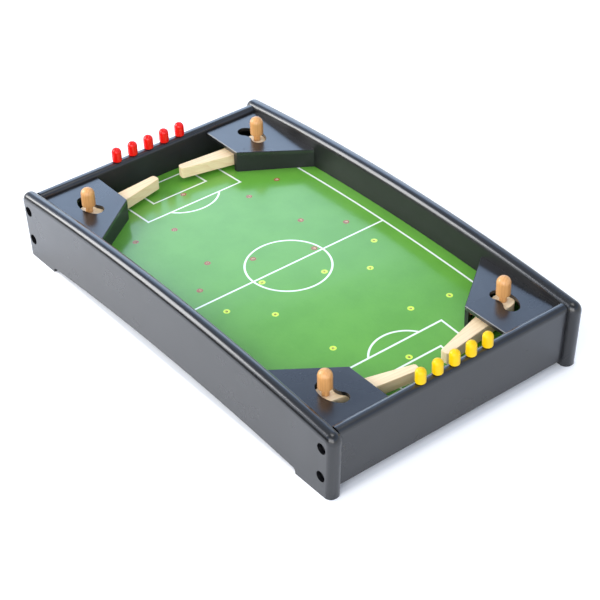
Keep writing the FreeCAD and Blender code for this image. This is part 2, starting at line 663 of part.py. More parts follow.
pins = []
washers = []
for team in TEAMS:
    for side in SIDES:
        corner = "%s_%s" % (team, side)
        pieces.append(placed("flipper_" + corner, flipper_shape, team, side))
        pieces.append(placed("knob_" + corner, knob_shape, team, side))
        spot = ("%d*pivot_x" % TEAM_SIGN[team], "%d*pivot_y" % SIDE_SIGN[side])
        pins.append(joined("pin_" + corner, [
            rod("pin_shank_" + corner, "pin_width", "pin_top - pin_head_z + 0.01",
                spot + ("pin_head_z - 0.01",)),
            rod("pin_head_" + corner, "pin_head_width", "pin_head_height",
                spot + ("pin_head_z - pin_head_height",)),
        ]))
        low = "flipper_z - washer_play - washer_thickness"
        disc = rod("washer_disc_" + corner, "washer_width", "washer_thickness", spot + (low,))
        bore = rod("washer_bore_" + corner, "bore_width", "washer_thickness + 2",
                   spot + (low + " - 1",))
        washers.append(cut("washer_" + corner, disc, [bore]))
pieces.append(group("pivot_pins", pins))
pieces.append(group("flipper_washers", washers))

# Pegs: a round-topped barrel on a thin stem, five on each end board

for team in TEAMS:
    for place in PEG_PLACES:
        tag = "%s_peg_%d" % (team, place + 3)
        spot = ("%d*peg_x" % TEAM_SIGN[team], "%d*peg_pitch" % place)
        dome = doc.addObject("Part::Sphere", tag + "_dome")
        bind(dome, Radius="peg_width/2", x=spot[0], y=spot[1], z="end_top + peg_height - peg_width/2")
        foot_ring = doc.addObject("Part::Torus", tag + "_foot_ring")
        bind(foot_ring, Radius1="peg_width/2 - peg_foot_round", Radius2="peg_foot_round",
             x=spot[0], y=spot[1], z="end_top + peg_foot_round")
        pieces.append(joined(tag, [
            dome,
            rod(tag + "_barrel", "peg_width", "peg_height - peg_width/2 - peg_foot_round",
                spot + ("end_top + peg_foot_round",)),
            foot_ring,
            rod(tag + "_sole", "peg_width - 2*peg_foot_round", "peg_foot_round", spot + ("end_top",)),
            rod(tag + "_stem", "peg_stem_width", "peg_stem + 0.01", spot + ("end_top - peg_stem",)),
        ]))

doc.recompute()

faults = [thing.Name for thing in doc.Objects if {"Invalid", "Error"} & set(thing.State)]
faults += [piece.Label for piece in pieces if piece.Shape.isNull() or not piece.Shape.isValid()]
if faults:
    raise RuntimeError("not built: " + ", ".join(faults))

os.makedirs("parts", exist_ok=True)
for piece in pieces:
    piece.Shape.exportStep("parts/%s.step" % piece.Label)
    bounds = piece.Shape.BoundBox
    print("%-26s %2d solids %10.1f mm3  x %.1f..%.1f  y %.1f..%.1f  z %.1f..%.1f" % (
        piece.Label, len(piece.Shape.Solids), piece.Shape.Volume, bounds.XMin, bounds.XMax,
        bounds.YMin, bounds.YMax, bounds.ZMin, bounds.ZMax))
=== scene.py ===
"""Looks of the tabletop football tray: paint, pitch print, turned pieces, fasteners and the studio.

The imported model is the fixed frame, in metres: X along the length with the yellow
pegs at +X, Y across with the far side board at +Y, Z up from the surface the feet
stand on. Most boards keep their own mesh and get a finish; the pegs, knobs, block
tops and screws are modelled again in finer detail.
"""
import json
import math

import bmesh
import bpy
from bpy.props import FloatProperty, FloatVectorProperty, PointerProperty
from mathutils import Matrix, Vector


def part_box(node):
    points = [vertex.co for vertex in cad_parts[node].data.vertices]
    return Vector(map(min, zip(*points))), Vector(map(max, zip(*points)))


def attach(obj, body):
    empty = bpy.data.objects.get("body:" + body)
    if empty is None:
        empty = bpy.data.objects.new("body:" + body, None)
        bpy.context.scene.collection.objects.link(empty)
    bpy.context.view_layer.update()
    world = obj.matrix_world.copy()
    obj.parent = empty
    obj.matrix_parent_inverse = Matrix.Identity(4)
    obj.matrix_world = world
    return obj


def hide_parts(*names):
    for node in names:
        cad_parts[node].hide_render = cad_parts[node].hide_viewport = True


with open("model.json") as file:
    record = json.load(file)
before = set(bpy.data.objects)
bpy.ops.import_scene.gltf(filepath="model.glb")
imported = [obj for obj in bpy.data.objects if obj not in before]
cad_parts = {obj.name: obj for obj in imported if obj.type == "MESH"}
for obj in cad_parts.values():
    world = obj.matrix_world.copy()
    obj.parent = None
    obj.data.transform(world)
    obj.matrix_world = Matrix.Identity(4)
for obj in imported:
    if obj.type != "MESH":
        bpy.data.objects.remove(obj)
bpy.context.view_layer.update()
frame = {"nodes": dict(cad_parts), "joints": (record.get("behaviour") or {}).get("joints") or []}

bl_info = {
    "name": "Tabletop Football Tray",
    "version": (1, 0, 0),
    "blender": (4, 5, 0),
    "location": "View3D > Sidebar > Football Tray",
    "description": "Finishes and fine pieces for a wooden tabletop football tray",
    "category": "Object",
}

NODES = frame["nodes"]
TEAMS = ("red", "yellow")
SIDES = ("near", "far")
CORNERS = [team + "_" + side for team in TEAMS for side in SIDES]
SWINGS = {joint["child"]: joint for joint in frame["joints"] if joint["type"] == "hinge"}

# Holes of one team, from the pitch's centre towards its own goal; the other team's are
# the same turned half way round.
HOLES = (
    (0.1785, 0.0), (0.1268, 0.047), (0.1268, -0.047), (0.1345, 0.089), (0.1345, -0.089),
    (0.0545, 0.058), (0.0545, -0.058), (0.0218, 0.0905), (0.0218, -0.0905),
    (0.031, 0.020), (0.0062, -0.037),
)

# Screws of one corner: height, and distance along from the middle of the tray.
SCREWS = ((0.0216, 0.23534), (0.0544, 0.23756))

# Corners closer than this become one.
WELD = 1e-7

# Depth of the bump patterns, and half the soft edge of the printed lines and rings.
BUMP_DEPTH = 0.0002
LINE_SOFTNESS = 0.00012
RING_SOFTNESS = 0.00015

QUARTER_TURN = math.radians(90.0)


# Sizes and colours

def colour(name, description, default):
    """A colour that the user can change."""
    return FloatVectorProperty(name=name, description=description, subtype="COLOR",
                               size=3, min=0.0, max=1.0, default=default)


def length(name, description, default):
    """A length that the user can change, in metres."""
    return FloatProperty(name=name, description=description, unit="LENGTH", min=0.0,
                         precision=4, default=default)


def share(name, description, default):
    """A plain factor."""
    return FloatProperty(name=name, description=description, subtype="FACTOR",
                         min=0.0, max=1.0, default=default)


class PaintSettings(bpy.types.PropertyGroup):
    """Satin black lacquer of the boards."""
    base: colour("Paint", "Colour of the lacquer", (0.0055, 0.0058, 0.0068))
    worn: colour("Rubbed Edge", "Colour where an edge is rubbed", (0.030, 0.032, 0.037))
    roughness: share("Roughness", "Roughness of the lacquer", 0.29)
    inner_side: length("Inner Side", "Inner face of a side board from the centre line", 0.1351)
    inner_end: length("Inner End", "Inner face of an end board from the halfway line", 0.2326)
    slot_ease: length("Slot Ease", "Easing of the rims of the curved slots", 0.0005)


class PitchSettings(bpy.types.PropertyGroup):
    """Printed pitch."""
    green: colour("Green", "Colour of the printed pitch", (0.128, 0.388, 0.040))
    deep_green: colour("Deep Green", "Darker green of the print", (0.110, 0.352, 0.034))
    line_colour: colour("Lines", "Colour of the printed lines", (0.86, 0.93, 0.84))
    red_ring: colour("Red Rings", "Rings round the red team's holes", (0.330, 0.110, 0.035))
    yellow_ring: colour("Yellow Rings", "Rings round the yellow team's holes",
                        (0.70, 0.92, 0.080))
    # Hole walls: bare board colour lightened far past the raw wood, partly real bare wood and
    # partly painted light standing in for light reaching into the shaded holes.
    hole_wood_and_painted_light: colour("Hole Wood and Painted Light", "Bare board inside the peg holes", (0.90, 0.74, 0.58))
    line_width: length("Line Width", "Width of the printed lines", 0.0021)
    circle_radius: length("Centre Circle", "Radius of the centre circle", 0.0428)
    touch_line: length("Touch Line", "Touch line from the centre line", 0.1205)
    goal_line: length("Goal Line", "Goal line from the halfway line", 0.2187)
    penalty_front: length("Penalty Box Front", "From the halfway line", 0.1574)
    penalty_half: length("Penalty Box Half", "From the centre line to its side", 0.0582)
    goal_front: length("Goal Box Front", "From the halfway line", 0.1845)
    goal_half: length("Goal Box Half", "From the centre line to its side", 0.0332)
    arc_centre: length("Arc Centre", "Middle of the penalty arc", 0.1790)
    arc_radius: length("Arc Radius", "Radius of the penalty arc", 0.0375)
    ring_outside: length("Ring Radius", "Outer radius of a printed ring", 0.0033)
    hole_radius: length("Hole Radius", "Radius of a peg hole", 0.0015)


class WoodSettings(bpy.types.PropertyGroup):
    """Bare wood: flippers, knobs and what is inside the blocks."""
    blade_light: colour("Blade Light", "Pale wood of the flippers", (0.96, 0.765, 0.490))
    blade_dark: colour("Blade Dark", "Grain of the flippers", (0.85, 0.585, 0.325))
    knob_light: colour("Knob Light", "Turned wood of the knobs", (0.75, 0.385, 0.135))
    knob_dark: colour("Knob Dark", "Grain of the knobs", (0.54, 0.230, 0.065))
    raw_light: colour("Raw Light", "Unpainted wood inside the blocks", (0.42, 0.26, 0.145))
    raw_dark: colour("Raw Dark", "Its grain", (0.26, 0.145, 0.070))
    knob_width: length("Knob Width", "Diameter of a knob", 0.0140)
    stem_width: length("Stem Width", "Diameter of the stem under a knob", 0.0074)


class PegSettings(bpy.types.PropertyGroup):
    """Lacquered pegs."""
    red: colour("Red", "Lacquer of the red pegs", (0.930, 0.008, 0.005))
    yellow: colour("Yellow", "Lacquer of the yellow pegs", (0.900, 0.570, 0.001))
    width: length("Width", "Diameter of a peg", 0.0104)
    foot_round: length("Foot Rounding", "Rounding of a peg's lower edge", 0.0017)
    stem_width: length("Stem Width", "Diameter of the stem in its hole", 0.0028)


class StudioSettings(bpy.types.PropertyGroup):
    """Camera, lamps and floor."""
    camera_place: FloatVectorProperty(name="Camera", description="Place of the camera",
                                      subtype="TRANSLATION", unit="LENGTH",
                                      default=(1.11780, -0.82953, 1.03141))
    yaw: FloatProperty(name="Yaw", description="Turn of the camera round the tray",
                       subtype="ANGLE", default=0.9251682)
    tilt: FloatProperty(name="Tilt", description="Camera's angle above the horizon",
                        subtype="ANGLE", default=0.6355369)
    roll: FloatProperty(name="Roll", description="Turn of the picture",
                        subtype="ANGLE", default=-0.0348400)
    lens: FloatProperty(name="Lens", description="Focal length on a 36 mm sensor",
                        subtype="DISTANCE_CAMERA", default=105.0909)
    floor_colour: colour("Floor", "Colour of the pale floor", (0.91, 0.92, 0.94))
    floor_glow: share("Floor Glow", "What the camera sees added to the lit floor", 0.30)


# Mesh helpers

def piece_from(bm, name, body, material, replaced, smooth_angle=32.0,
               flat_above=1.0):
    """Turn a bmesh into a finished piece that rides on a body."""
    bmesh.ops.remove_doubles(bm, verts=bm.verts, dist=WELD)
    bmesh.ops.recalc_face_normals(bm, faces=bm.faces)
    mesh = bpy.data.meshes.new(name)
    bm.to_mesh(mesh)
    bm.free()
    mesh.materials.append(material)
    mesh.set_sharp_from_angle(angle=math.radians(smooth_angle))
    mesh.polygons.foreach_set("use_smooth", [face.area < flat_above for face in mesh.polygons])
    piece = bpy.data.objects.new(name, mesh)
    bpy.context.scene.collection.objects.link(piece)
    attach(piece, body)
    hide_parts(*replaced)


def turn_profile(bm, profile, centre, segments=64):
    """Spin a profile of (radius, height) corners once round an upright axis."""
    corners = [bm.verts.new((centre.x + radius, centre.y, height)) for radius, height in profile]
    edges = [bm.edges.new(pair) for pair in zip(corners, corners[1:])]
    bmesh.ops.spin(bm, geom=corners + edges, cent=(centre.x, centre.y, 0.0), axis=(0, 0, 1),
                   angle=2.0 * math.pi, steps=segments, use_merge=True, use_duplicate=False)
    bmesh.ops.remove_doubles(bm, verts=bm.verts, dist=WELD)


def arc(middle_radius, middle_height, radius, first, last, steps):
    """Corners of a rounded part of a profile, angles in degrees from the horizontal."""
    found = []
    for step in range(steps + 1):
        angle = math.radians(first + (last - first) * step / steps)
        found.append((middle_radius + radius * math.cos(angle),
                      middle_height + radius * math.sin(angle)))
    return found


def middle_of(node):
    """Middle of a CAD node's box."""
    low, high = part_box(node)
    return (low + high) / 2.0


def dress(node, material):
    """Give a CAD node its finish."""
    slots = NODES[node].data.materials
    slots.clear()
    slots.append(material)


# Material helpers

def fill(tree, socket, value):
    """Link a socket to another one, or set it to a plain value."""
    if isinstance(value, bpy.types.NodeSocket):
        tree.links.new(value, socket)
    elif socket.type == "RGBA":
        socket.default_value = (*value, 1.0)
    else:
        socket.default_value = value


def node_in(tree, kind, label=None, inputs=None, **settings):
    """Add a shader node and fill its inputs."""
    node = tree.nodes.new(kind)
    if label:
        node.label = label
    for name, value in settings.items():
        setattr(node, name, value)
    for key, value in (inputs or {}).items():
        fill(tree, node.inputs[key], value)
    return node


def noise(tree, label, vector, scale, detail, roughness=0.5):
    """A noise pattern."""
    node = node_in(tree, "ShaderNodeTexNoise", label=label, inputs={
        "Vector": vector, "Scale": scale, "Detail": detail, "Roughness": roughness})
    return node.outputs["Fac"]


def sums(tree, operation, first, second=0.0, third=None, clamp=False):
    """A Math node's result."""
    node = tree.nodes.new("ShaderNodeMath")
    node.operation = operation
    node.use_clamp = clamp
    for number, value in enumerate((first, second, third)):
        if value is not None:
            fill(tree, node.inputs[number], value)
    return node.outputs[0]


def blended(tree, factor, first, second):
    """A colour between two others."""
    node = node_in(tree, "ShaderNodeMix", data_type="RGBA")
    for number, value in ((0, factor), (6, first), (7, second)):
        fill(tree, node.inputs[number], value)
    return node.outputs[2]


def ramp(tree, value, low, high):
    """Smooth step from 0 at low to 1 at high."""
    node = node_in(tree, "ShaderNodeMapRange", interpolation_type="SMOOTHSTEP",
                   inputs={"Value": value, "From Min": low, "From Max": high})
    return node.outputs["Result"]


def fading_out(tree, value, limit, softness):
    """1 below a limit and 0 above it, with a soft edge."""
    node = node_in(tree, "ShaderNodeMapRange", inputs={
        "Value": value, "From Min": limit - softness, "From Max": limit + softness,
        "To Min": 1.0, "To Max": 0.0})
    return node.outputs["Result"]


def below(tree, value, limit):
    """1 where value is less than limit."""
    return sums(tree, "LESS_THAN", value, limit)


def either(tree, *masks):
    """Any of several masks."""
    found = masks[0]
    for mask in masks[1:]:
        found = sums(tree, "MAXIMUM", found, mask)
    return found


def both(tree, *masks):
    """All of several masks."""
    found = masks[0]
    for mask in masks[1:]:
        found = sums(tree, "MULTIPLY", found, mask)
    return found


def own_place(tree, turn=0.0, shift=(0.0, 0.0, 0.0)):
    """Object coordinates, moved, then turned about Z, so that a pattern lies along its piece."""
    coordinates = node_in(tree, "ShaderNodeTexCoord")
    centred = node_in(tree, "ShaderNodeMapping", label="Centre the pattern",
                      inputs={"Vector": coordinates.outputs["Object"],
                              "Location": tuple(-value for value in shift)})
    turned = node_in(tree, "ShaderNodeMapping", label="Turn the pattern",
                     inputs={"Vector": centred.outputs["Vector"],
                             "Rotation": (0.0, 0.0, turn)})
    return turned.outputs["Vector"]


def parts_of(tree, vector):
    """X, Y and Z of a vector."""
    split = node_in(tree, "ShaderNodeSeparateXYZ", inputs={"Vector": vector})
    return split.outputs["X"], split.outputs["Y"], split.outputs["Z"]


def start_material(name):
    """A material with only an output and a Principled shader, joined."""
    material = bpy.data.materials.new(name)
    material.use_nodes = True
    tree = material.node_tree
    tree.nodes.clear()
    output = tree.nodes.new("ShaderNodeOutputMaterial")
    shader = tree.nodes.new("ShaderNodeBsdfPrincipled")
    tree.links.new(shader.outputs["BSDF"], output.inputs["Surface"])
    return material, tree, shader


def bump_on(tree, shader, height, strength):
    """Let a height pattern shape the shading."""
    bump = node_in(tree, "ShaderNodeBump", inputs={"Height": height, "Strength": strength,
                                                   "Distance": BUMP_DEPTH})
    tree.links.new(bump.outputs["Normal"], shader.inputs["Normal"])


def start_group(name, inputs, outputs):
    """A shader node group with named sockets."""
    tree = bpy.data.node_groups.new(name, "ShaderNodeTree")
    for label, kind, default in inputs:
        socket = tree.interface.new_socket(name=label, in_out="INPUT",
                                           socket_type="NodeSocket" + kind)
        if default is not None:
            socket.default_value = default
    for label, kind in outputs:
        tree.interface.new_socket(name=label, in_out="OUTPUT",
                                  socket_type="NodeSocket" + kind)
    return tree, tree.nodes.new("NodeGroupInput"), tree.nodes.new("NodeGroupOutput")


def use_group(tree, group_tree, **inputs):
    """Place a node group; input names are written with underscores."""
    node = tree.nodes.new("ShaderNodeGroup")
    node.node_tree = group_tree
    for name, value in inputs.items():
        fill(tree, node.inputs[name.replace("_", " ")], value)
    return node


def wood_grain_group():
    """Straight wood grain that runs along Y: streaks, growth lines and short pores."""
    tree, inside, outside = start_group(
        "Wood Grain",
        [("Vector", "Vector", None), ("Light", "Color", (0.8, 0.7, 0.5, 1.0)),
         ("Dark", "Color", (0.6, 0.45, 0.3, 1.0)), ("Growth Rings", "Float", 320.0),
         ("Streaks", "Float", 0.5)],
        [("Color", "Color"), ("Height", "Float")])
    drawn = node_in(tree, "ShaderNodeMapping", label="Draw out along the grain",
                    inputs={"Vector": inside.outputs["Vector"], "Scale": (1.0, 0.045, 1.0)})
    along_grain = drawn.outputs["Vector"]
    waver = noise(tree, "Waver", along_grain, 95.0, 2.0)
    across, _, upward = parts_of(tree, along_grain)
    ring_line = sums(tree, "MULTIPLY_ADD", upward, 0.42, across)
    wavered = sums(tree, "MULTIPLY_ADD", waver, 0.006, ring_line)
    rings = sums(tree, "MULTIPLY", wavered, inside.outputs["Growth Rings"])
    late_wood = ramp(tree, sums(tree, "FRACT", rings), 0.45, 1.0)
    streak = ramp(tree, noise(tree, "Streaks", along_grain, 620.0, 4.0, 0.62), 0.32, 0.72)
    pore = ramp(tree, noise(tree, "Pores", along_grain, 2600.0, 1.0), 0.66, 0.74)
    ring_part = sums(tree, "MULTIPLY", late_wood, 0.34)
    streak_part = sums(tree, "MULTIPLY", streak, inside.outputs["Streaks"])
    pore_part = sums(tree, "MULTIPLY", pore, 0.30)
    dark = sums(tree, "ADD", ring_part, streak_part)
    dark = sums(tree, "ADD", dark, pore_part, clamp=True)
    tinted = blended(tree, dark, inside.outputs["Light"], inside.outputs["Dark"])
    tree.links.new(tinted, outside.inputs["Color"])
    sunk = sums(tree, "MULTIPLY_ADD", pore, -0.6, 1.0)
    tree.links.new(sums(tree, "MULTIPLY_ADD", streak, -0.4, sunk), outside.inputs["Height"])
    return tree


def lacquer_skin_group():
    """Sprayed lacquer: faint orange peel, specks of dust and hazy patches."""
    tree, inside, outside = start_group(
        "Lacquer Skin", [("Vector", "Vector", None), ("Peel Scale", "Float", 420.0)],
        [("Height", "Float"), ("Haze", "Float"), ("Specks", "Float")])
    place = inside.outputs["Vector"]
    peel = noise(tree, "Orange peel", place, inside.outputs["Peel Scale"], 2.0, 0.45)
    haze = noise(tree, "Haze", place, 26.0, 3.0, 0.55)
    dust = node_in(tree, "ShaderNodeTexVoronoi", label="Dust", inputs={
        "Vector": place, "Scale": 95.0, "Randomness": 1.0})
    speck = ramp(tree, dust.outputs["Distance"], 0.052, 0.030)
    specks = sums(tree, "MULTIPLY", speck, ramp(tree, haze, 0.52, 0.60))
    tree.links.new(sums(tree, "MULTIPLY_ADD", specks, 0.5, peel), outside.inputs["Height"])
    tree.links.new(haze, outside.inputs["Haze"])
    tree.links.new(specks, outside.inputs["Specks"])
    return tree


def lacquered(name, base, worn, skin, roughness, coat=0.72, inside=None):
    """Lacquer over wood, rubbed a little paler where an edge sticks out.

    inside holds the distances along and across within which the coat is thin and dull.
    """
    material, tree, shader = start_material(name)
    place = own_place(tree)
    film = use_group(tree, skin, Vector=place)
    edge = node_in(tree, "ShaderNodeNewGeometry")
    rubbed = ramp(tree, edge.outputs["Pointiness"], 0.53, 0.60)
    rubbed = sums(tree, "MULTIPLY", rubbed, film.outputs["Haze"])
    rubbed = sums(tree, "MULTIPLY", rubbed, 0.5, clamp=True)
    tint = blended(tree, rubbed, base, worn)
    tint = blended(tree, sums(tree, "MULTIPLY", film.outputs["Specks"], 0.18), tint, worn)
    tree.links.new(tint, shader.inputs["Base Color"])
    uneven = sums(tree, "MULTIPLY_ADD", film.outputs["Haze"], 0.14, roughness - 0.07)
    shader.inputs["Specular IOR Level"].default_value = 0.45
    shader.inputs["Coat Weight"].default_value = coat
    shader.inputs["Coat Roughness"].default_value = 0.19
    if inside:
        thin = both(tree, *(below(tree, sums(tree, "ABSOLUTE", part), limit)
                            for part, limit in zip(parts_of(tree, place), inside)))
        tree.links.new(sums(tree, "MULTIPLY_ADD", thin, -0.85 * coat, coat),
                       shader.inputs["Coat Weight"])
        uneven = sums(tree, "MULTIPLY_ADD", thin, 0.22, uneven)
    tree.links.new(uneven, shader.inputs["Roughness"])
    bump_on(tree, shader, film.outputs["Height"], 0.016)
    return material


def bare_wood(name, light, dark, grain, turn=0.0, shift=(0.0, 0.0, 0.0), rings=320.0,
              streaks=0.5, roughness=0.52, upright=False, coat=0.0):
    """Sanded wood whose grain runs along the piece."""
    material, tree, shader = start_material(name)
    place = own_place(tree, turn=turn, shift=shift)
    if upright:
        stood = node_in(tree, "ShaderNodeMapping", label="Stand the grain up",
                        inputs={"Vector": place, "Rotation": (QUARTER_TURN, 0.0, 0.0)})
        place = stood.outputs["Vector"]
    wood = use_group(tree, grain, Vector=place, Light=light, Dark=dark, Growth_Rings=rings,
                     Streaks=streaks)
    tree.links.new(wood.outputs["Color"], shader.inputs["Base Color"])
    rough = sums(tree, "MULTIPLY_ADD", wood.outputs["Height"], -0.10, roughness + 0.09)
    tree.links.new(rough, shader.inputs["Roughness"])
    if coat:
        shader.inputs["Coat Weight"].default_value = coat
        shader.inputs["Coat Roughness"].default_value = 0.30
    bump_on(tree, shader, wood.outputs["Height"], 0.10)
    return material


def metal(name, tone, roughness):
    """Plated or blackened steel with a fine rolled surface."""
    material, tree, shader = start_material(name)
    place = own_place(tree)
    rolled = noise(tree, "Rolled surface", place, 900.0, 2.0)
    tint = blended(tree, rolled, tone, tuple(0.8 * part for part in tone))
    tree.links.new(tint, shader.inputs["Base Color"])
    tree.links.new(sums(tree, "MULTIPLY_ADD", rolled, 0.12, roughness - 0.06),
                   shader.inputs["Roughness"])
    shader.inputs["Metallic"].default_value = 1.0
    bump_on(tree, shader, rolled, 0.05)
    return material


# Pitch print

def band(tree, value, place, width):
    """1 where value is within half a width of place, with a soft edge."""
    away = sums(tree, "ABSOLUTE", sums(tree, "SUBTRACT", value, place))
    return fading_out(tree, away, width / 2.0, LINE_SOFTNESS)


def squared_distance(tree, along, across, x, y):
    """Square of the distance from a point of the pitch."""
    dx = sums(tree, "SUBTRACT", along, x)
    dy = sums(tree, "SUBTRACT", across, y)
    return sums(tree, "MULTIPLY_ADD", dx, dx, sums(tree, "MULTIPLY", dy, dy))


def pitch_lines_group(pitch):
    """Mask of the printed lines, the same in all four quarters of the pitch."""
    tree, inside, outside = start_group("Pitch Lines", [("Vector", "Vector", None)],
                                        [("Lines", "Float")])
    x, y, _ = parts_of(tree, inside.outputs["Vector"])
    along = sums(tree, "ABSOLUTE", x)
    across = sums(tree, "ABSOLUTE", y)
    width = pitch.line_width
    half = width / 2.0

    def round_line(middle, radius):
        """A circle whose middle lies on the centre line."""
        away = sums(tree, "SQRT", squared_distance(tree, along, across, middle, 0.0))
        return band(tree, away, radius, width)

    def box_line(front, side):
        """Three sides of a box on the goal line."""
        before_side = below(tree, across, side + half)
        past_front = sums(tree, "GREATER_THAN", along, front - half)
        inside_pitch = below(tree, along, pitch.goal_line + half)
        return either(tree, both(tree, band(tree, along, front, width), before_side),
                      both(tree, band(tree, across, side, width), past_front, inside_pitch))

    touch_limit = below(tree, across, pitch.touch_line + half)
    outline = either(
        tree,
        both(tree, band(tree, across, pitch.touch_line, width),
             below(tree, along, pitch.goal_line + half)),
        both(tree, band(tree, along, pitch.goal_line, width), touch_limit),
        both(tree, band(tree, along, 0.0, width), touch_limit))
    penalty_arc = both(tree, round_line(pitch.arc_centre, pitch.arc_radius),
                       below(tree, along, pitch.penalty_front))
    lines = either(tree, outline, round_line(0.0, pitch.circle_radius), penalty_arc,
                   box_line(pitch.penalty_front, pitch.penalty_half),
                   box_line(pitch.goal_front, pitch.goal_half))
    tree.links.new(lines, outside.inputs["Lines"])
    return tree


def ring_marks_group(pitch):
    """Masks of the rings printed round the holes, and of which team they belong to."""
    tree, inside, outside = start_group("Ring Marks", [("Vector", "Vector", None)],
                                        [("Rings", "Float"), ("Yellow Team", "Float"),
                                         ("Holes", "Float")])
    x, y, _ = parts_of(tree, inside.outputs["Vector"])
    yellow = sums(tree, "GREATER_THAN", x, 0.0)
    flip = sums(tree, "MULTIPLY_ADD", yellow, 2.0, -1.0)
    along = sums(tree, "MULTIPLY", x, flip)
    across = sums(tree, "MULTIPLY", y, flip)
    nearest = squared_distance(tree, along, across, *HOLES[0])
    for hole in HOLES[1:]:
        nearest = sums(tree, "MINIMUM", nearest,
                       squared_distance(tree, along, across, *hole))
    away = sums(tree, "SQRT", nearest)
    tree.links.new(fading_out(tree, away, pitch.ring_outside, RING_SOFTNESS),
                   outside.inputs["Rings"])
    tree.links.new(yellow, outside.inputs["Yellow Team"])
    hole_edge = pitch.hole_radius + 0.00005
    tree.links.new(below(tree, away, hole_edge), outside.inputs["Holes"])
    return tree


def printed_pitch(pitch, skin):
    """Green printed board under clear lacquer."""
    material, tree, shader = start_material("Printed pitch")
    place = own_place(tree)
    film = use_group(tree, skin, Vector=place, Peel_Scale=260.0)
    lines = use_group(tree, pitch_lines_group(pitch), Vector=place)
    rings = use_group(tree, ring_marks_group(pitch), Vector=place)
    fibre_place = node_in(tree, "ShaderNodeMapping", label="Board fibres",
                          inputs={"Vector": place, "Scale": (0.2, 1.0, 1.0)})
    fibres = noise(tree, "Fibres", fibre_place.outputs["Vector"], 1400.0, 3.0)
    mottle = sums(tree, "MULTIPLY_ADD", film.outputs["Haze"], 0.7,
                  sums(tree, "MULTIPLY", fibres, 0.3))
    green = blended(tree, ramp(tree, mottle, 0.35, 0.65), pitch.green, pitch.deep_green)
    ring_tint = blended(tree, rings.outputs["Yellow Team"], pitch.red_ring, pitch.yellow_ring)
    marked = blended(tree, lines.outputs["Lines"], green, pitch.line_colour)
    tint = blended(tree, rings.outputs["Rings"], marked, ring_tint)
    # Hole walls take the lightened board colour, which is partly bare wood and partly painted light
    # in the shaded holes; the yellow team's holes mix in half the ring colour.
    bore_tint_with_painted_light = blended(tree, sums(tree, "MULTIPLY", rings.outputs["Yellow Team"], 0.5),
                        pitch.hole_wood_and_painted_light, ring_tint)
    tint = blended(tree, rings.outputs["Holes"], tint, bore_tint_with_painted_light)
    tree.links.new(tint, shader.inputs["Base Color"])
    tree.links.new(sums(tree, "MULTIPLY_ADD", film.outputs["Haze"], 0.10, 0.36),
                   shader.inputs["Roughness"])
    shader.inputs["Specular IOR Level"].default_value = 0.22
    shader.inputs["Coat Weight"].default_value = 0.75
    shader.inputs["Coat Roughness"].default_value = 0.16
    height = sums(tree, "MULTIPLY_ADD", lines.outputs["Lines"], 0.5, film.outputs["Height"])
    bump_on(tree, shader, height, 0.04)
    return material


# Operators

